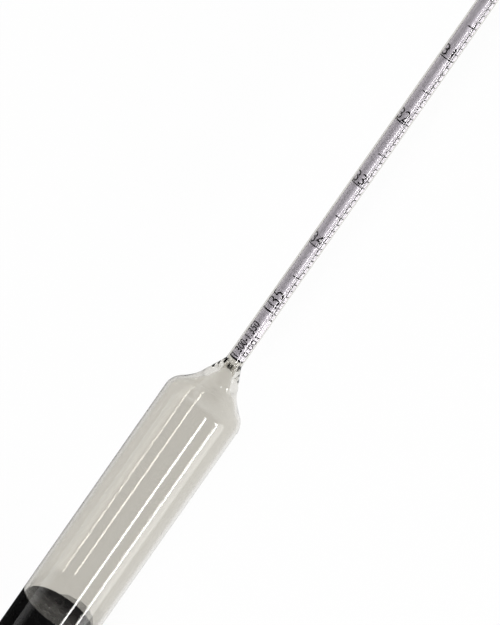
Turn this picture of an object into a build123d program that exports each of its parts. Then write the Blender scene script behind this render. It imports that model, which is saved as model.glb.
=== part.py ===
"""A glass hydrometer for densities from 1.300 to 1.350, lying on its bulb with the scale upwards.

Sizes are in millimetres. The float's axis runs along +X towards the stem, and it lies on Z = 0.
Heights along the axis are counted from the junction, where the neck ends and the even stem begins.
"""

import os
from math import asin, cos, degrees, radians, sin

from build123d import *

# Stem, a drawn glass tube closed in the flame at its top
stem_radius = 2.2
stem_wall = 0.3
stem_above_scale = 17.0

# Bulb, made from wider tube with its lower end blown round, where the glass gathers to a flat inside
bulb_radius = 10.5
bulb_wall = 0.8
barrel_length = 91.9
base_flat_radius = 3.4

# Neck and shoulder, where the bulb is drawn down to meet the stem
neck_angle = 25.0
neck_fillet_radius = 1.5
neck_bore_angle = 38.0
neck_bore_fillet_radius = 1.2
flare_radius = 14.0
flare_angle = 52.0
shoulder_radius = 4.2

# Scale, its lines spaced as equal steps of density sink the stem
scale_bottom_height = 17.3
scale_length = 92.3
dense_reading = 1.350
light_reading = 1.300
reading_step = 0.001
steps_to_label = 10
steps_to_middle_line = 5
steps_past_dense_end = 2

# Paper strip, rolled and slid into the stem, with its seam underneath
paper_thickness = 0.1
paper_clearance = 0.04
paper_bottom_height = 0.9
paper_above_scale = 8.5
paper_seam_angle = 12.0

# Print, with angles about the stem counted from its upper side
ink_thickness = 0.03
line_width = 0.2
axis_line_angle = 38.0
axis_line_width = 0.2
line_end_angle = 74.0
short_line_arc = 36.0
middle_line_arc = 82.0
long_line_arc = 162.0

# Ballast, its heights counted from the bulb's lower end. Steel shot lies under black pitch, which
# climbed the glass and set with its top a little out of square
shot_height = 22.2
pitch_rim_height = 39.6
meniscus_height = 1.2
meniscus_width = 1.5
pitch_tilt = 1.3

# Sizes that follow from the ones above
stem_bore_radius = stem_radius - stem_wall
bulb_bore_radius = bulb_radius - bulb_wall
paper_radius = stem_bore_radius - paper_clearance
scale_top_height = scale_bottom_height + scale_length
stem_tube_height = scale_top_height + stem_above_scale
top_height = stem_tube_height + stem_radius


def cone_length(start_radius, arc_radius, cone_angle, bend_radius, tube_radius):
    """Length of the straight cone between the flare and the bend into the tube."""
    flare_drop = arc_radius * (cos(radians(cone_angle)) - cos(radians(flare_angle)))
    bend_drop = bend_radius * (1 - cos(radians(cone_angle)))
    return (start_radius - flare_drop - bend_drop - tube_radius) / sin(radians(cone_angle))


# The neck's height comes from its angles and radii, and the bulb hangs below it
shoulder_drop = shoulder_radius * (1 - cos(radians(flare_angle)))
neck_length = (
    shoulder_radius * sin(radians(flare_angle))
    + flare_radius * (sin(radians(flare_angle)) - sin(radians(neck_angle)))
    + cone_length(
        bulb_radius - shoulder_drop, flare_radius, neck_angle, neck_fillet_radius, stem_radius
    ) * cos(radians(neck_angle))
    + neck_fillet_radius * sin(radians(neck_angle))
)
barrel_top_height = -neck_length
bottom_height = barrel_top_height - barrel_length - bulb_radius

# The float lies on its bulb, with the origin under the middle of its length
junction = (-(bottom_height + top_height) / 2, 0, bulb_radius)
stem_axis = Axis(junction, (1, 0, 0))
axis_plane = Plane(origin=junction, x_dir=(1, 0, 0), z_dir=(0, -1, 0))


def radial_plane(angle):
    """The plane through the axis whose upright direction is turned by angle towards -Y."""
    return axis_plane.rotated((angle, 0, 0))


def on_axis(height):
    """The point of the axis at a height."""
    return axis_plane.from_local_coords((height, 0))


def half_outline(inset, flat_radius, cone_angle, bend_radius, tube_radius):
    """Half outline of the float, closed along the axis, with the bulb's surface moved in by inset."""
    base_radius = bulb_radius - inset
    flat_angle = asin(flat_radius / base_radius)
    pole = (bottom_height + bulb_radius - base_radius * cos(flat_angle), 0)
    if flat_radius:
        Line(pole, (pole[0], flat_radius))
    base = JernArc(
        (pole[0], flat_radius),
        (sin(flat_angle), cos(flat_angle)),
        base_radius,
        degrees(flat_angle) - 90,
    )
    barrel = Line(base @ 1, (barrel_top_height, bulb_radius - inset))
    shoulder = JernArc(barrel @ 1, barrel % 1, shoulder_radius - inset, -flare_angle)
    flare = JernArc(shoulder @ 1, shoulder % 1, flare_radius + inset, flare_angle - cone_angle)
    straight = cone_length(
        (shoulder @ 1).Y, flare_radius + inset, cone_angle, bend_radius, tube_radius
    )
    cone = Line(flare @ 1, (flare @ 1) + (flare % 1) * straight)
    bend = JernArc(cone @ 1, cone % 1, bend_radius, cone_angle)
    tube = Line(bend @ 1, (stem_tube_height, tube_radius))
    tip = JernArc(tube @ 1, tube % 1, tube_radius, -90)
    Line(tip @ 1, pole)


# The sealed space inside the glass, which takes the ballast and the paper
with BuildPart() as inside_space:
    with BuildSketch(axis_plane):
        with BuildLine():
            half_outline(
                bulb_wall, base_flat_radius, neck_bore_angle, neck_bore_fillet_radius, stem_bore_radius
            )
        make_face()
    revolve(axis=stem_axis)

# Glass body, the stem, neck and bulb fused into one
with BuildPart() as glass_body:
    with BuildSketch(axis_plane):
        with BuildLine():
            half_outline(0, 0, neck_angle, neck_fillet_radius, stem_radius)
        make_face()
    revolve(axis=stem_axis)
    add(inside_space.part, mode=Mode.SUBTRACT)

# Scale paper, a strip rolled into an open tube
with BuildPart() as scale_paper:
    with BuildSketch(radial_plane(180 + paper_seam_angle / 2)):
        paper_length = scale_top_height + paper_above_scale - paper_bottom_height
        with Locations((paper_bottom_height, paper_radius)):
            Rectangle(paper_length, paper_thickness, align=(Align.MIN, Align.MAX))
    revolve(axis=stem_axis, revolution_arc=360 - paper_seam_angle)


def reading_height(reading):
    """Height of a reading's line, where one over the density falls evenly along the stem."""
    span = 1 / light_reading - 1 / dense_reading
    return scale_bottom_height + scale_length * (1 / reading - 1 / dense_reading) / span


# Every printed patch: the height of its middle, its width up the stem, and the angles it runs between
last_step = round((dense_reading - light_reading) / reading_step + steps_past_dense_end)
last_line_height = reading_height(light_reading + last_step * reading_step)
axis_line_half_arc = degrees(axis_line_width / 2 / paper_radius)
patches = [
    (
        (scale_top_height + last_line_height) / 2,
        scale_top_height - last_line_height + line_width,
        axis_line_angle - axis_line_half_arc,
        axis_line_angle + axis_line_half_arc,
    ),
]
for step in range(last_step + 1):
    if step % steps_to_label == 0:
        line_arc = long_line_arc
    elif step % steps_to_middle_line == 0:
        line_arc = middle_line_arc
    else:
        line_arc = short_line_arc
    line_height = reading_height(light_reading + step * reading_step)
    patches.append((line_height, line_width, line_end_angle - line_arc, line_end_angle))

# Scale print, the graduation lines joined by the axis line
with BuildPart() as scale_print:
    for middle_height, width, start_angle, end_angle in patches:
        with BuildSketch(radial_plane(start_angle)):
            with Locations((middle_height, paper_radius)):
                Rectangle(width, ink_thickness, align=(Align.CENTER, Align.MIN))
        revolve(axis=stem_axis, revolution_arc=end_angle - start_angle)

# Ballast shot, the bed of shot in the base of the bulb
with BuildPart() as ballast_shot:
    add(inside_space.part)
    split(bisect_by=Plane(on_axis(bottom_height + shot_height), z_dir=(1, 0, 0)), keep=Keep.BOTTOM)

# Ballast pitch, poured over the shot, its top drawn up where it wets the glass and leaning to one side
with BuildPart() as ballast_pitch:
    rim_middle = on_axis(bottom_height + pitch_rim_height)
    pitch_plane = Plane(rim_middle, x_dir=(1, 0, 0), z_dir=(0, -1, 0))
    pitch_plane = pitch_plane.rotated((0, 0, pitch_tilt))
    with BuildSketch(pitch_plane):
        with BuildLine():
            flat_radius = bulb_bore_radius - meniscus_width
            height_past_glass = bulb_wall * meniscus_height / meniscus_width
            Polyline(
                (-meniscus_height, 0),
                (-meniscus_height, flat_radius),
                (height_past_glass, bulb_radius),
                (-pitch_rim_height, bulb_radius),
                (-pitch_rim_height, 0),
                close=True,
            )
        make_face()
    revolve(axis=Axis(pitch_plane.origin, pitch_plane.x_dir))
    add(inside_space.part, mode=Mode.INTERSECT)
    add(ballast_shot.part, mode=Mode.SUBTRACT)

glass_body.part.label = "glass_body"
scale_paper.part.label = "scale_paper"
scale_print.part.label = "scale_print"
ballast_shot.part.label = "ballast_shot"
ballast_pitch.part.label = "ballast_pitch"

os.makedirs("parts", exist_ok=True)
export_step(glass_body.part, "parts/glass_body.step")
export_step(scale_paper.part, "parts/scale_paper.step")
export_step(scale_print.part, "parts/scale_print.step")
export_step(ballast_shot.part, "parts/ballast_shot.step")
export_step(ballast_pitch.part, "parts/ballast_pitch.step")
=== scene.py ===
"""Looks of a glass hydrometer that lies on its bulb, in metres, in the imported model's frame.

The axis runs along +X from the bulb to the stem's tip. Angles round it are counted from its upper
side, towards -Y.
"""

import math
import random

import bmesh
import bpy
from mathutils import Matrix, Vector, noise


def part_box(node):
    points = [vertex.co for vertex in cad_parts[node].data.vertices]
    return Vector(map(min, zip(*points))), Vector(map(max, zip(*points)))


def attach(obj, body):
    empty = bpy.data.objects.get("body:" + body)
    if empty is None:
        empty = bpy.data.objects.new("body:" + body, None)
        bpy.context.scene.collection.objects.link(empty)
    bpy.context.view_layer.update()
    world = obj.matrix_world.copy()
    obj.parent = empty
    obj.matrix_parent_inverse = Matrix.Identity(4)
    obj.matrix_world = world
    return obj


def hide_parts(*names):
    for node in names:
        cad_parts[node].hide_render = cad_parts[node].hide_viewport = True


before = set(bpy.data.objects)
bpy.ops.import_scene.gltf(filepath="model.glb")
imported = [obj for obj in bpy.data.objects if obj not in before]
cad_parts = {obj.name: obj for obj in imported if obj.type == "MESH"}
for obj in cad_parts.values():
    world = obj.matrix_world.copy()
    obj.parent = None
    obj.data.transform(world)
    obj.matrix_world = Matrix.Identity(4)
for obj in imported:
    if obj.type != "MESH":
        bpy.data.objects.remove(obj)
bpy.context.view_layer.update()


# Glass body. A stem tube and a wider bulb tube were drawn down, fused and sealed in the flame, so
# it is one hollow piece. The tubes are thin and even, and the neck is thicker and uneven, with a
# ring of glass at each place where the flame joined it.
glass_low, glass_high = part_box("glass_body")
bulb_radius = (glass_high.z - glass_low.z) / 2
bulb_wall = 0.0008
barrel_length = 0.0919
base_flat_radius = 0.0034
shoulder_radius = 0.0042
flare_radius = 0.014
flare_angle = 52
neck_angle = 25
neck_fillet_radius = 0.0015
neck_bore_angle = 38
neck_bore_fillet_radius = 0.0012
stem_radius = 0.0022
stem_wall = 0.0003
axis_height = bulb_radius
barrel_step = 0.003
neck_step = 0.0003
neck_length_of_tube = 0.002
arc_step = 2.5
glass_segments = 176
on_axis_within = 1e-6


def cone_length(start_radius, arc_radius, cone_angle, bend_radius, tube_radius):
    """Length of the straight cone between the flare and the bend into the stem."""
    cone_cosine = math.cos(math.radians(cone_angle))
    flare_drop = arc_radius * (cone_cosine - math.cos(math.radians(flare_angle)))
    drop = start_radius - flare_drop - bend_radius * (1 - cone_cosine) - tube_radius
    return drop / math.sin(math.radians(cone_angle))


def draw_outline(x, radius, heading, moves):
    """Points (x, radius) along straight runs (length, step) and arcs (radius, turn in degrees)."""
    points = [(x, radius)]
    for kind, size, change in moves:
        if kind == "run":
            count = max(1, round(size / change))
            length, turn = size / count, 0
        else:
            count = max(3, round(abs(change) / arc_step))
            turn = math.radians(change) / count
            length = 2 * size * math.sin(abs(turn) / 2)
        for _ in range(count):
            heading += turn / 2
            x += length * math.cos(heading)
            radius = max(0.0, radius + length * math.sin(heading))
            heading += turn / 2
            points.append((x, radius))
    return points


def glass_outline(inset, flat_radius, cone_angle, bend_radius, tube_radius):
    """Half outline of the float from base to tip, with the bulb's surface moved in by inset."""
    base_radius = bulb_radius - inset
    flat_angle = math.asin(flat_radius / base_radius)
    x = glass_low.x + bulb_radius - base_radius * math.cos(flat_angle)
    shoulder_drop = (shoulder_radius - inset) * (1 - math.cos(math.radians(flare_angle)))
    cone = cone_length(
        base_radius - shoulder_drop, flare_radius + inset, cone_angle, bend_radius, tube_radius
    )
    moves = [
        ("arc", base_radius, math.degrees(flat_angle) - 90),
        ("run", barrel_length, barrel_step),
        ("arc", shoulder_radius - inset, -flare_angle),
        ("arc", flare_radius + inset, flare_angle - cone_angle),
        ("run", cone, neck_step),
        ("arc", bend_radius, cone_angle),
    ]
    points = draw_outline(x, flat_radius, math.pi / 2 - flat_angle, moves)
    tube_length = glass_high.x - stem_radius - points[-1][0]
    tube_moves = [
        ("run", neck_length_of_tube, neck_step),
        ("run", tube_length - neck_length_of_tube, barrel_step),
        ("arc", tube_radius, -90),
    ]
    points += draw_outline(*points[-1], 0, tube_moves)[1:]
    return points


outer_outline = glass_outline(0, 0, neck_angle, neck_fillet_radius, stem_radius)
inner_outline = glass_outline(
    bulb_wall, base_flat_radius, neck_bore_angle, neck_bore_fillet_radius, stem_radius - stem_wall
)

# The junction is where the neck's outer bend ends and the even stem begins
neck_end_angle = math.radians(neck_angle)
junction_x = (
    glass_low.x + bulb_radius + barrel_length
    + shoulder_radius * math.sin(math.radians(flare_angle))
    + flare_radius * (math.sin(math.radians(flare_angle)) - math.sin(neck_end_angle))
    + cone_length(
        bulb_radius - shoulder_radius * (1 - math.cos(math.radians(flare_angle))),
        flare_radius, neck_angle, neck_fillet_radius, stem_radius,
    ) * math.cos(neck_end_angle)
    + neck_fillet_radius * math.sin(neck_end_angle)
)

# Rings of glass at the joints: height from the junction, half width, how far each stands in and
# out, and how far its two sides lean apart
weld_rings = [
    (-0.0006, 0.0005, 0.00003, 0.00004, 0.0001),
    (-0.0053, 0.0007, 0.0002, 0.0001, 0.0001),
]
neck_wave_height = 0.00006
neck_wave_length = 0.0022
neck_wave_stretch = 3
neck_wave_girth = 0.005
neck_wave_start = -0.012
neck_wave_end = -0.0002


def neck_unevenness(x, angle, side):
    """How far the glass stands proud at a place of the neck, outside for 1 and inside for -1."""
    height = x - junction_x
    bulge = 0
    for ring_height, half_width, depth_in, depth_out, lean in weld_rings:
        away = (height - ring_height - lean * math.sin(angle)) / half_width
        bulge += (depth_out if side > 0 else depth_in) * math.exp(-away * away)
    if neck_wave_start < height < neck_wave_end:
        share = (height - neck_wave_start) / (neck_wave_end - neck_wave_start)
        place = Vector(
            (
                height / neck_wave_stretch,
                math.cos(angle) * neck_wave_girth,
                math.sin(angle) * neck_wave_girth + side,
            )
        )
        wave = noise.noise(place / neck_wave_length)
        bulge += neck_wave_height * math.sin(math.pi * share) * wave
    return bulge


def on_axis_circle(x, radius, angle):
    """The point at a radius and an angle round the axis."""
    return Vector((x, -radius * math.sin(angle), axis_height + radius * math.cos(angle)))


def spin_outline(mesh, outline, side):
    """Turns an outline round the axis. Side 1 faces outwards, and -1 faces the axis."""
    rings = []
    for x, radius in outline:
        if radius < on_axis_within:
            rings.append([mesh.verts.new(on_axis_circle(x, 0, 0))])
            continue
        ring = []
        for i in range(glass_segments):
            angle = 2 * math.pi * i / glass_segments
            bulge = side * neck_unevenness(x, angle, side)
            ring.append(mesh.verts.new(on_axis_circle(x, radius + bulge, angle)))
        rings.append(ring)
    for before, after in zip(rings, rings[1:]):
        for i in range(glass_segments):
            j = (i + 1) % glass_segments
            corners = [before[i % len(before)], before[j % len(before)]]
            corners += [after[j % len(after)], after[i % len(after)]]
            corners = list(dict.fromkeys(corners))
            mesh.faces.new(corners if side > 0 else corners[::-1])
    if len(rings[0]) > 1:
        mesh.faces.new(rings[0] if side < 0 else rings[0][::-1])


def add_piece(name, mesh, material, slot, *replaced):
    """Makes a smooth piece of the object from a bmesh, riding on the root body."""
    data = bpy.data.meshes.new(name)
    mesh.to_mesh(data)
    mesh.free()
    data.materials.append(material)
    data.shade_smooth()
    piece = bpy.data.objects.new(name, data)
    bpy.context.collection.objects.link(piece)
    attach(piece, "root")
    if replaced:
        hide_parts(*replaced)
    return piece


def linear(code):
    """Linear colour of an sRGB hex value."""
    parts = [int(code[i : i + 2], 16) / 255 for i in (1, 3, 5)]
    return (*[c / 12.92 if c <= 0.04045 else ((c + 0.055) / 1.055) ** 2.4 for c in parts], 1)


def add_node(tree, kind, settings=None, links=None):
    """Adds a node, sets its sockets and properties, and links its inputs to other outputs."""
    made = tree.nodes.new(kind)
    for name, value in (settings or {}).items():
        if isinstance(name, int) or name in made.inputs:
            made.inputs[name].default_value = value
        else:
            setattr(made, name, value)
    for name, output in (links or {}).items():
        tree.links.new(output, made.inputs[name])
    return made


def new_material(name):
    """An empty node material and its output node."""
    material = bpy.data.materials.new(name)
    material.use_nodes = True
    material.node_tree.nodes.clear()
    return material, add_node(material.node_tree, "ShaderNodeOutputMaterial")


# Soda-lime glass, drawn and fire polished: sharp reflections with faint waves along the draw, and
# a little grey in its walls. It lets lamplight straight through, so that what is inside is lit.
glass_grey = "#E3E1DC"
glass_ior = 1.5
draw_wave_width = 0.002
draw_wave_stretch = 0.04
draw_wave_height = 0.0002

soda_lime_glass, glass_output = new_material("soda_lime_glass")
tree = soda_lime_glass.node_tree
coordinates = add_node(tree, "ShaderNodeTexCoord")
along_draw = add_node(
    tree,
    "ShaderNodeMapping",
    {"Scale": (draw_wave_stretch, 1, 1)},
    {"Vector": coordinates.outputs["Object"]},
)
draw_waves = add_node(
    tree,
    "ShaderNodeTexNoise",
    {"Scale": 1 / draw_wave_width, "Detail": 1},
    {"Vector": along_draw.outputs[0]},
)
wavy_face = add_node(
    tree,
    "ShaderNodeBump",
    {"Strength": 0.003, "Distance": draw_wave_height},
    {"Height": draw_waves.outputs["Fac"]},
)
clear_glass = add_node(
    tree,
    "ShaderNodeBsdfPrincipled",
    {"Base Color": linear(glass_grey), "Transmission Weight": 1, "Roughness": 0, "IOR": glass_ior},
    {"Normal": wavy_face.outputs[0]},
)
light_path = add_node(tree, "ShaderNodeLightPath")
open_to_lamps = add_node(tree, "ShaderNodeBsdfTransparent")
glass_or_open = add_node(
    tree,
    "ShaderNodeMixShader",
    None,
    {
        0: light_path.outputs["Is Shadow Ray"],
        1: clear_glass.outputs[0],
        2: open_to_lamps.outputs[0],
    },
)
tree.links.new(glass_or_open.outputs[0], glass_output.inputs["Surface"])

glass_mesh = bmesh.new()
spin_outline(glass_mesh, outer_outline, 1)
spin_outline(glass_mesh, inner_outline, -1)
add_piece("blown_glass", glass_mesh, soda_lime_glass, "glass", "glass_body")


# Scale paper. A strip of smooth, faintly mauve white paper, rolled into an open tube and slid into
# the stem, with its seam underneath.
paper_low, paper_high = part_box("scale_paper")
paper_radius = paper_high.y
paper_thickness = 0.0001
paper_seam_angle = math.radians(12)
paper_segments = 120
paper_lengths = 24
paper_white = "#F1EDFB"
paper_shade = "#EAE5F4"
paper_cloud_size = 0.004
paper_fibre_size = 0.0003
paper_fibre_height = 0.00002

scale_paper, paper_output = new_material("smooth_scale_paper")
tree = scale_paper.node_tree
coordinates = add_node(tree, "ShaderNodeTexCoord")
clouds = add_node(
    tree,
    "ShaderNodeTexNoise",
    {"Scale": 1 / paper_cloud_size, "Detail": 3},
    {"Vector": coordinates.outputs["Object"]},
)
tone = add_node(tree, "ShaderNodeValToRGB", None, {"Fac": clouds.outputs["Fac"]})
tone.color_ramp.elements[0].color = linear(paper_shade)
tone.color_ramp.elements[1].color = linear(paper_white)
fibres = add_node(
    tree,
    "ShaderNodeTexNoise",
    {"Scale": 1 / paper_fibre_size, "Detail": 2},
    {"Vector": coordinates.outputs["Object"]},
)
fibre_face = add_node(
    tree,
    "ShaderNodeBump",
    {"Strength": 0.015, "Distance": paper_fibre_height},
    {"Height": fibres.outputs["Fac"]},
)
paper_surface = add_node(
    tree,
    "ShaderNodeBsdfPrincipled",
    {"Roughness": 0.55},
    {"Base Color": tone.outputs[0], "Normal": fibre_face.outputs[0]},
)
tree.links.new(paper_surface.outputs[0], paper_output.inputs["Surface"])

paper_mesh = bmesh.new()
paper_rings = []
for i in range(paper_lengths + 1):
    x = paper_low.x + (paper_high.x - paper_low.x) * i / paper_lengths
    ring = []
    for radius, order in ((paper_radius, 1), (paper_radius - paper_thickness, -1)):
        for j in range(paper_segments + 1)[::order]:
            angle = math.pi + paper_seam_angle / 2
            angle += (2 * math.pi - paper_seam_angle) * j / paper_segments
            ring.append(paper_mesh.verts.new(on_axis_circle(x, radius, angle)))
    paper_rings.append(ring)
for before, after in zip(paper_rings, paper_rings[1:]):
    for i in range(len(before)):
        j = (i + 1) % len(before)
        paper_mesh.faces.new([before[i], before[j], after[j], after[i]])
for ring, order in ((paper_rings[0], -1), (paper_rings[-1], 1)):
    for i in range(paper_segments):
        corners = [ring[i], ring[i + 1], ring[-i - 2], ring[-i - 1]]
        paper_mesh.faces.new(corners[::order])
add_piece("rolled_paper", paper_mesh, scale_paper, "paper", "scale_paper")


# Scale print. Matt black ink on the strip: the axis line and the graduation lines in one piece, and
# in another the figures, the line at the strip's lower end and two rows of plain numbers. The lines
# are drawn a little wider than the real ones, so that they show.
ink_black = "#0E0C10"
ink_worn = "#1B191E"
ink_thickness = 0.00003
ink_patch_size = 0.0006

printing_ink, ink_output = new_material("printing_ink")
tree = printing_ink.node_tree
coordinates = add_node(tree, "ShaderNodeTexCoord")
ink_patches = add_node(
    tree,
    "ShaderNodeTexNoise",
    {"Scale": 1 / ink_patch_size, "Detail": 2},
    {"Vector": coordinates.outputs["Object"]},
)
ink_tone = add_node(tree, "ShaderNodeValToRGB", None, {"Fac": ink_patches.outputs["Fac"]})
ink_tone.color_ramp.elements[0].color = linear(ink_black)
ink_tone.color_ramp.elements[1].color = linear(ink_worn)
ink_surface = add_node(
    tree,
    "ShaderNodeBsdfPrincipled",
    {"Roughness": 0.8, "Specular IOR Level": 0.1},
    {"Base Color": ink_tone.outputs[0]},
)
tree.links.new(ink_surface.outputs[0], ink_output.inputs["Surface"])

line_width = 0.0002
line_spread = 0.00004
light_line_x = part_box("scale_print")[1].x - line_width / 2
scale_length = 0.0923
dense_line_x = light_line_x - scale_length
light_reading, dense_reading = 1.300, 1.350
reading_step = 0.001
last_step = 52
steps_to_label = 10
steps_to_middle_line = 5
axis_line_angle = 38
line_end_angle = 74
long_line_arc = 162
middle_line_arc = 82
short_line_arc = 36
patch_step_angle = 4
same_place = 1e-7


def reading_x(reading):
    """Place of a reading's line, where one over the density falls evenly along the stem."""
    span = 1 / light_reading - 1 / dense_reading
    return dense_line_x + scale_length * (1 / reading - 1 / dense_reading) / span


def add_patch(mesh, x, width, start_angle, end_angle):
    """Adds a curved patch of ink to a mesh, its middle at x, between two angles in degrees."""
    arc = end_angle - start_angle
    count = math.ceil(arc / patch_step_angle)
    for i in range(count):
        angles = [math.radians(start_angle + arc * part / count) for part in (i, i + 1)]
        corners = [(x - width / 2, angle) for angle in angles]
        corners += [(x + width / 2, angle) for angle in angles[::-1]]
        places = [on_axis_circle(x, paper_radius + ink_thickness, angle) for x, angle in corners]
        mesh.faces.new([mesh.verts.new(place) for place in places])


def add_ink(name, mesh, *replaced):
    """Makes a printed piece from a mesh of its outer face."""
    bmesh.ops.remove_doubles(mesh, verts=mesh.verts, dist=same_place)
    piece = add_piece(name, mesh, printing_ink, "ink", *replaced)
    thickness = piece.modifiers.new("ink_thickness", "SOLIDIFY")
    thickness.thickness = ink_thickness
    thickness.offset = -1


lines_mesh = bmesh.new()
last_line_x = reading_x(light_reading + last_step * reading_step)
half_axis_line = math.degrees((line_width / 2 + line_spread) / paper_radius)
add_patch(
    lines_mesh,
    (light_line_x + last_line_x) / 2,
    light_line_x - last_line_x + line_width,
    axis_line_angle - half_axis_line,
    axis_line_angle + half_axis_line,
)
for step in range(last_step + 1):
    if step % steps_to_label == 0:
        line_arc = long_line_arc
    elif step % steps_to_middle_line == 0:
        line_arc = middle_line_arc
    else:
        line_arc = short_line_arc
    line_x = reading_x(light_reading + step * reading_step)
    drawn_width = line_width if step == 0 else line_width + 2 * line_spread
    add_patch(lines_mesh, line_x, drawn_width, line_end_angle - line_arc, line_end_angle)
add_ink("scale_lines", lines_mesh, "scale_print")


figure_smoothness = 6
cut_width = 0.0001


def flat_text(words, height, width, weight):
    """Flat mesh of a row of figures from the origin, with the height and width of each figure."""
    curve = bpy.data.curves.new("figures", "FONT")
    curve.body = words
    curve.offset = weight
    curve.resolution_u = figure_smoothness
    text = bpy.data.objects.new("figures", curve)
    flat = bmesh.new()
    flat.from_mesh(bpy.data.meshes.new_from_object(text))
    bpy.data.objects.remove(text)
    low = Vector([min(v.co[i] for v in flat.verts) for i in range(3)])
    high = Vector([max(v.co[i] for v in flat.verts) for i in range(3)])
    wider = width * len(words) / (high.x - low.x)
    taller = height / (high.y - low.y)
    flat.transform(Matrix.Diagonal((wider, taller, 1, 1)) @ Matrix.Translation(-low))
    return flat


def wrap_on_paper(mesh, x, angle, sideways):
    """Bends a flat mesh onto the paper at a place and an angle, reading up the stem if sideways."""
    if sideways:
        mesh.transform(Matrix.Rotation(math.pi / 2, 4, "Z"))
    low = min(v.co.x for v in mesh.verts)
    high = max(v.co.x for v in mesh.verts)
    for i in range(1, math.ceil((high - low) / cut_width)):
        geometry = [*mesh.verts, *mesh.edges, *mesh.faces]
        cut = Vector((low + i * cut_width, 0, 0))
        bmesh.ops.bisect_plane(mesh, geom=geometry, plane_co=cut, plane_no=(1, 0, 0))
    for v in mesh.verts:
        turned = angle + v.co.x / paper_radius
        v.co = on_axis_circle(x + v.co.y, paper_radius + ink_thickness, turned)


# Each row: words, height and width of a figure, boldness, place and angle of its lower left corner,
# and whether it reads up the stem
label_angle = -64
label_above_line = 0.0003
end_label_angle = 27
end_label_below_line = 0.0018
figure_rows = []
for reading in (1.31, 1.32, 1.33, 1.34):
    label = f"{round(reading * 100) - 100}"
    label_x = reading_x(reading) + label_above_line
    figure_rows.append((label, 0.00295, 0.00144, 0, label_x, label_angle, False))
for reading in (1.30, 1.35):
    label_x = reading_x(reading) - end_label_below_line
    figure_rows.append((f"{reading:.2f}", 0.0031, 0.00142, 0, label_x, end_label_angle, True))
figure_rows.append(("1.300-1.350", 0.0021, 0.0009, 0.01, junction_x + 0.0018, 4, True))
figure_rows.append(("0.001", 0.0015, 0.0012, 0.012, junction_x + 0.0026, 64, True))

end_line_width = 0.0005
end_line_half_arc = 180 - math.degrees(paper_seam_angle) / 2
figures_mesh = bmesh.new()
add_patch(
    figures_mesh,
    paper_low.x + end_line_width / 2,
    end_line_width,
    -end_line_half_arc,
    end_line_half_arc,
)
for words, height, width, weight, x, angle, sideways in figure_rows:
    row = flat_text(words, height, width, weight)
    wrap_on_paper(row, x, math.radians(angle), sideways)
    row_data = bpy.data.meshes.new("row")
    row.to_mesh(row_data)
    row.free()
    figures_mesh.from_mesh(row_data)
    bpy.data.meshes.remove(row_data)
add_ink("scale_figures", figures_mesh)


# Ballast pitch. Black pitch was poured over the shot while the bulb stood upright. It wetted the
# glass, drew up a little at the wall, and set with its top out of square.
pitch_low_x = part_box("ballast_pitch")[0].x
bore_radius = bulb_radius - bulb_wall
pitch_rim_height = 0.0396
pitch_rim_x = glass_low.x + pitch_rim_height
meniscus_height = 0.0012
meniscus_width = 0.0006
pitch_tilt = math.radians(1.3)
bite_into_glass = 0.00005
pitch_segments = 160
pitch_rings = 60
pitch_black = "#0B0B0C"
pitch_patch_size = 0.0025
pitch_unevenness = 0.0003

black_pitch, pitch_output = new_material("black_pitch")
tree = black_pitch.node_tree
coordinates = add_node(tree, "ShaderNodeTexCoord")
dull_patches = add_node(
    tree,
    "ShaderNodeTexNoise",
    {"Scale": 1 / pitch_patch_size, "Detail": 4},
    {"Vector": coordinates.outputs["Object"]},
)
dullness = add_node(
    tree,
    "ShaderNodeMapRange",
    {"From Min": 0.3, "From Max": 0.7, "To Min": 0.12, "To Max": 0.4},
    {"Value": dull_patches.outputs["Fac"]},
)
uneven_face = add_node(
    tree,
    "ShaderNodeBump",
    {"Strength": 0.3, "Distance": pitch_unevenness},
    {"Height": dull_patches.outputs["Fac"]},
)
pitch_surface = add_node(
    tree,
    "ShaderNodeBsdfPrincipled",
    {"Base Color": linear(pitch_black), "IOR": 1.5, "Specular IOR Level": 0.3},
    {"Roughness": dullness.outputs[0], "Normal": uneven_face.outputs[0]},
)
tree.links.new(pitch_surface.outputs[0], pitch_output.inputs["Surface"])


def pitch_top(radius, angle):
    """Place along the axis of the pitch's top surface."""
    drawn_up = math.exp(-(bore_radius - radius) / meniscus_width)
    level = -math.tan(pitch_tilt) * radius * math.cos(angle)
    return pitch_rim_x + level - meniscus_height * (1 - drawn_up)


pitch_mesh = bmesh.new()
rings = [[pitch_mesh.verts.new(on_axis_circle(pitch_top(0, 0), 0, 0))]]
for i in range(1, pitch_rings + 1):
    radius = bore_radius * math.sin(math.pi / 2 * i / pitch_rings)
    if i == pitch_rings:
        radius += bite_into_glass
    ring = []
    for j in range(pitch_segments):
        angle = 2 * math.pi * j / pitch_segments
        place = on_axis_circle(pitch_top(radius, angle), radius, angle)
        ring.append(pitch_mesh.verts.new(place))
    rings.append(ring)
foot = []
for j in range(pitch_segments):
    angle = 2 * math.pi * j / pitch_segments
    place = on_axis_circle(pitch_low_x, bore_radius + bite_into_glass, angle)
    foot.append(pitch_mesh.verts.new(place))
rings.append(foot)
for before, after in zip(rings, rings[1:]):
    for i in range(pitch_segments):
        j = (i + 1) % pitch_segments
        corners = [after[i], after[j], before[j % len(before)], before[i % len(before)]]
        pitch_mesh.faces.new(list(dict.fromkeys(corners)))
pitch_mesh.faces.new(foot)
add_piece("set_pitch", pitch_mesh, black_pitch, "pitch", "ballast_pitch")


# Film of pitch. Where the pitch ran down one side as it was poured, it left a thin, smoky film on
# the glass above its rim. Its upper edge is a list of angles and heights above the rim.
film_tone = "#2B2927"
film_least_cover = 0.4
film_most_cover = 0.6
film_streak_size = 0.002
film_edge = [(95, 0), (112, 0.0007), (130, 0.0015), (155, 0.0019), (178, 0.0012), (200, 0)]
film_columns = 60
film_rows = 6
film_clearance = 0.00001

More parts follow.
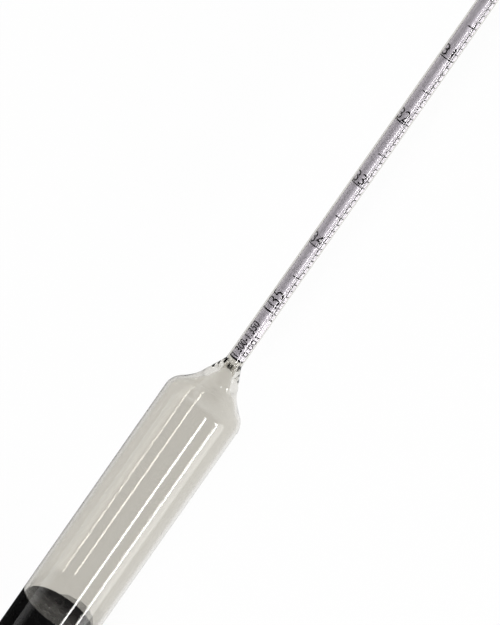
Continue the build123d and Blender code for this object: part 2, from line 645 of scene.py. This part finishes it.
smoky_film, film_output = new_material("smoky_pitch_film")
tree = smoky_film.node_tree
coordinates = add_node(tree, "ShaderNodeTexCoord")
film_streaks = add_node(
    tree,
    "ShaderNodeTexNoise",
    {"Scale": 1 / film_streak_size, "Detail": 2},
    {"Vector": coordinates.outputs["Object"]},
)
film_share = add_node(
    tree,
    "ShaderNodeMapRange",
    {"From Min": 0.3, "From Max": 0.7, "To Min": film_least_cover, "To Max": film_most_cover},
    {"Value": film_streaks.outputs["Fac"]},
)
film_surface = add_node(
    tree,
    "ShaderNodeBsdfPrincipled",
    {"Base Color": linear(film_tone), "Roughness": 0.5},
    {"Alpha": film_share.outputs[0]},
)
tree.links.new(film_surface.outputs[0], film_output.inputs["Surface"])


def film_height(angle):
    """Height of the film above the rim at an angle, eased between the points of its edge."""
    for (before, low), (after, high) in zip(film_edge, film_edge[1:]):
        if before <= angle <= after:
            share = (angle - before) / (after - before)
            height = low + (high - low) * (1 - math.cos(math.pi * share)) / 2
    return height


film_mesh = bmesh.new()
film_radius = bore_radius - film_clearance
columns = []
for i in range(film_columns + 1):
    angle = film_edge[0][0] + (film_edge[-1][0] - film_edge[0][0]) * i / film_columns
    height = film_height(angle)
    rim = pitch_top(bore_radius, math.radians(angle))
    column = []
    for j in range(film_rows + 1):
        place = on_axis_circle(rim + height * j / film_rows, film_radius, math.radians(angle))
        column.append(film_mesh.verts.new(place))
    columns.append(column)
for before, after in zip(columns, columns[1:]):
    for j in range(film_rows):
        film_mesh.faces.new([before[j], before[j + 1], after[j + 1], after[j]])
bmesh.ops.dissolve_degenerate(film_mesh, dist=same_place, edges=film_mesh.edges)
add_piece("pitch_film", film_mesh, smoky_film, "pitch")


# Ballast shot. A bed of small steel balls in the base of the bulb, under the pitch, which ran in
# between them. Only the balls against the glass show, so the bed is one layer of them round a core.
shot_radius = 0.0009
shot_gap = 1.04
shot_jitter = 0.02
base_gather = 0.0007
core_shrink = 0.0005
core_segments = 48
core_step_angle = 10
shot_steel = "#6E6F72"
shot_shade = "#3A3B3E"
shot_marks_per_metre = 1500

steel_shot, shot_output = new_material("cast_steel_shot")
tree = steel_shot.node_tree
coordinates = add_node(tree, "ShaderNodeTexCoord")
casting_marks = add_node(
    tree,
    "ShaderNodeTexNoise",
    {"Scale": shot_marks_per_metre, "Detail": 3},
    {"Vector": coordinates.outputs["Object"]},
)
shot_tone = add_node(tree, "ShaderNodeValToRGB", None, {"Fac": casting_marks.outputs["Fac"]})
shot_tone.color_ramp.elements[0].color = linear(shot_shade)
shot_tone.color_ramp.elements[1].color = linear(shot_steel)
shot_surface = add_node(
    tree,
    "ShaderNodeBsdfPrincipled",
    {"Metallic": 0.8, "Roughness": 0.45},
    {"Base Color": shot_tone.outputs[0]},
)
tree.links.new(shot_surface.outputs[0], shot_output.inputs["Surface"])

shot_mesh = bmesh.new()
shot_places = []
rest_radius = bore_radius - shot_radius
row_height = shot_radius * math.sqrt(3) * shot_gap
dome_centre_x = glass_low.x + bulb_radius
dome_rows = math.floor(rest_radius * math.pi / 2 / row_height)
straight_rows = math.floor((pitch_low_x - shot_radius - dome_centre_x) / row_height)
randomness = random.Random(7)
for row in range(-dome_rows, straight_rows + 1):
    if row < 0:
        polar = row * row_height / rest_radius
        ring_radius = rest_radius * math.cos(polar)
        ring_x = dome_centre_x + rest_radius * math.sin(polar)
    else:
        ring_radius = rest_radius
        ring_x = dome_centre_x + row * row_height
    ring_x = max(ring_x, glass_low.x + bulb_wall + base_gather + shot_radius)
    count = max(1, math.floor(2 * math.pi * ring_radius / (2 * shot_radius * shot_gap)))
    for i in range(count):
        angle = 2 * math.pi * (i + (row % 2) / 2) / count
        angle += randomness.uniform(-shot_jitter, shot_jitter)
        shot_places.append(on_axis_circle(ring_x, ring_radius, angle))
for place in shot_places:
    bmesh.ops.create_icosphere(
        shot_mesh, subdivisions=2, radius=shot_radius, matrix=Matrix.Translation(place)
    )
core_radius = bore_radius - core_shrink
core_outline = []
for degrees in range(0, 91, core_step_angle):
    polar = math.radians(degrees)
    core_outline.append(
        (dome_centre_x - core_radius * math.cos(polar), core_radius * math.sin(polar))
    )
core_outline += [(pitch_low_x, core_radius), (pitch_low_x, 0)]
for before, after in zip(core_outline, core_outline[1:]):
    for i in range(core_segments):
        start, end = (2 * math.pi * j / core_segments for j in (i, i + 1))
        corners = [on_axis_circle(*before, start), on_axis_circle(*before, end)]
        corners += [on_axis_circle(*after, end), on_axis_circle(*after, start)]
        corners = [p for k, p in enumerate(corners) if (p - corners[k - 1]).length > same_place]
        shot_mesh.faces.new([shot_mesh.verts.new(p) for p in corners])
bmesh.ops.remove_doubles(shot_mesh, verts=shot_mesh.verts, dist=same_place)
add_piece("steel_shot", shot_mesh, steel_shot, "shot", "ballast_shot")


# Floor. White paper that runs on as the backdrop. It shows white to the camera, in reflections and
# through the glass, and keeps a faint shadow. In reflections its +Y side, away from the lamps, has
# painted shade: its glow is lowered there by place.
floor_size = 6
floor_white = "#FFFFFF"
floor_in_light = "#E8E8E8"
shadow_share = 0.04
# Where the painted shade in reflections begins and where it is full, along Y
far_side_start = -0.005
far_side_end = 0.015

floor_paper, floor_output = new_material("white_backdrop_paper")
tree = floor_paper.node_tree
lit_paper = add_node(tree, "ShaderNodeBsdfDiffuse", {"Color": linear(floor_in_light)})
bright_paper = add_node(tree, "ShaderNodeEmission", {"Color": linear(floor_white)})
light_path = add_node(tree, "ShaderNodeLightPath")
camera_or_glossy = add_node(
    tree,
    "ShaderNodeMath",
    {"operation": "MAXIMUM"},
    {0: light_path.outputs["Is Camera Ray"], 1: light_path.outputs["Is Glossy Ray"]},
)
seen_directly = add_node(
    tree,
    "ShaderNodeMath",
    {"operation": "MAXIMUM"},
    {0: camera_or_glossy.outputs[0], 1: light_path.outputs["Is Transmission Ray"]},
)
bright_share = add_node(
    tree,
    "ShaderNodeMath",
    {"operation": "MULTIPLY", 1: 1 - shadow_share},
    {0: seen_directly.outputs[0]},
)
reflected = add_node(
    tree,
    "ShaderNodeMath",
    {"operation": "SUBTRACT"},
    {0: light_path.outputs["Is Glossy Ray"], 1: light_path.outputs["Is Transmission Ray"]},
)
coordinates = add_node(tree, "ShaderNodeTexCoord")
split = add_node(tree, "ShaderNodeSeparateXYZ", None, {0: coordinates.outputs["Object"]})
# Painted shade: in reflections the backdrop's glow drops towards +Y, away from the lamps
far_side = add_node(
    tree,
    "ShaderNodeMapRange",
    {"From Min": far_side_start, "From Max": far_side_end},
    {"Value": split.outputs["Y"]},
)
reflected_painted_shade = add_node(
    tree,
    "ShaderNodeMath",
    {"operation": "MULTIPLY", "use_clamp": True},
    {0: reflected.outputs[0], 1: far_side.outputs[0]},
)
kept = add_node(tree, "ShaderNodeMath", {"operation": "SUBTRACT", 0: 1}, {1: reflected_painted_shade.outputs[0]})
tree.links.new(kept.outputs[0], bright_paper.inputs["Strength"])
floor_mix = add_node(
    tree,
    "ShaderNodeMixShader",
    None,
    {0: bright_share.outputs[0], 1: lit_paper.outputs[0], 2: bright_paper.outputs[0]},
)
tree.links.new(floor_mix.outputs[0], floor_output.inputs["Surface"])

floor_mesh = bmesh.new()
bmesh.ops.create_grid(floor_mesh, x_segments=1, y_segments=1, size=floor_size / 2)
floor_data = bpy.data.meshes.new("floor")
floor_mesh.to_mesh(floor_data)
floor_mesh.free()
floor_data.materials.append(floor_paper)
floor = bpy.data.objects.new("floor", floor_data)
bpy.context.collection.objects.link(floor)


# Studio. The walls are white near the table and dim above it. Three long strip lamps hang over the
# -Y side, two that draw bright lines along the glass and a wide, dim one. Two more lamps give light
# and don't show in the glass.
view_lean = math.radians(15.2)
wall_white = (0.9, 0.9, 0.9, 1)
wall_dim = (0.07, 0.068, 0.07, 1)
white_up_to = math.radians(8)
dim_from = math.radians(30)

room = bpy.data.worlds.new("studio_room")
bpy.context.scene.world = room
room.use_nodes = True
tree = room.node_tree
tree.nodes.clear()
room_output = add_node(tree, "ShaderNodeOutputWorld")
direction = add_node(tree, "ShaderNodeTexCoord")
split = add_node(tree, "ShaderNodeSeparateXYZ", None, {0: direction.outputs["Generated"]})
room_tone = add_node(tree, "ShaderNodeValToRGB", None, {"Fac": split.outputs["Z"]})
room_tone.color_ramp.elements[0].position = math.sin(white_up_to)
room_tone.color_ramp.elements[0].color = wall_white
room_tone.color_ramp.elements[1].position = math.sin(dim_from)
room_tone.color_ramp.elements[1].color = wall_dim
light_path = add_node(tree, "ShaderNodeLightPath")
room_colour = add_node(
    tree,
    "ShaderNodeMix",
    {"data_type": "RGBA", 7: (1, 1, 1, 1)},
    {0: light_path.outputs["Is Camera Ray"], 6: room_tone.outputs[0]},
)
room_light = add_node(
    tree, "ShaderNodeBackground", {"Strength": 1}, {"Color": room_colour.outputs[2]}
)
tree.links.new(room_light.outputs[0], room_output.inputs["Surface"])

# Each lamp: angle round the axis from the camera's side, angular width, brightness where 1 is
# white, and whether it shows as a reflection or only gives light
lamps = [
    (24.8, 4.6, 16, True),
    (61.3, 4.2, 17, True),
    (76, 20, 1.9, True),
    (80, 20, 12.5, False),
    (-20, 30, 3.8, False),
]
lamp_distance = 0.7
lamp_length = 1.0
for number, (angle, width, brightness, mirrored) in enumerate(lamps):
    towards = Vector(
        (
            -math.sin(view_lean),
            -math.cos(view_lean) * math.sin(math.radians(angle)),
            math.cos(view_lean) * math.cos(math.radians(angle)),
        )
    )
    lamp_data = bpy.data.lights.new(f"strip_lamp_{number}", "AREA")
    lamp_data.shape = "RECTANGLE"
    lamp_data.size = lamp_length
    lamp_data.size_y = 2 * lamp_distance * math.tan(math.radians(width / 2))
    lamp_data.energy = brightness * math.pi * lamp_data.size * lamp_data.size_y
    # A mirrored lamp gives no light to paper behind the glass, where it would only make noise
    if mirrored:
        lamp_data.use_nodes = True
        tree = lamp_data.node_tree
        light_path = add_node(tree, "ShaderNodeLightPath")
        no_diffuse = add_node(
            tree,
            "ShaderNodeMath",
            {"operation": "LESS_THAN", 1: 0.5},
            {0: light_path.outputs["Diffuse Depth"]},
        )
        tree.links.new(no_diffuse.outputs[0], tree.nodes["Emission"].inputs["Strength"])
    lamp = bpy.data.objects.new(f"strip_lamp_{number}", lamp_data)
    bpy.context.collection.objects.link(lamp)
    lamp.location = Vector((0, 0, axis_height)) + towards * lamp_distance
    back = Vector((0, towards.y, towards.z)).normalized()
    along = Vector((1, 0, 0))
    lamp.matrix_world = Matrix.Translation(lamp.location) @ Matrix(
        (along, back.cross(along), back)
    ).transposed().to_4x4()
    lamp.visible_camera = False
    lamp.visible_diffuse = not mirrored
    lamp.visible_glossy = mirrored
    lamp.visible_transmission = mirrored


# Camera, a little over a metre away, looking down on the float from the stem's side
camera_aim = Vector((0.00613, 0.00366, axis_height))
camera_distance = 1.1718
camera_roll = math.radians(55.03)
camera_lens = 282.2
view_back = Vector((math.sin(view_lean), 0, math.cos(view_lean)))
axis_across = Vector((math.cos(view_lean), 0, -math.sin(view_lean)))
side_across = Vector((0, 1, 0))
view_right = math.cos(camera_roll) * axis_across - math.sin(camera_roll) * side_across
view_up = math.sin(camera_roll) * axis_across + math.cos(camera_roll) * side_across
camera_data = bpy.data.cameras.new("camera")
camera_data.lens = camera_lens
camera = bpy.data.objects.new("camera", camera_data)
bpy.context.collection.objects.link(camera)
camera.matrix_world = Matrix.Translation(camera_aim + view_back * camera_distance) @ Matrix(
    (view_right, view_up, view_back)
).transposed().to_4x4()
bpy.context.scene.camera = camera
bpy.context.scene.view_settings.view_transform = "Standard"
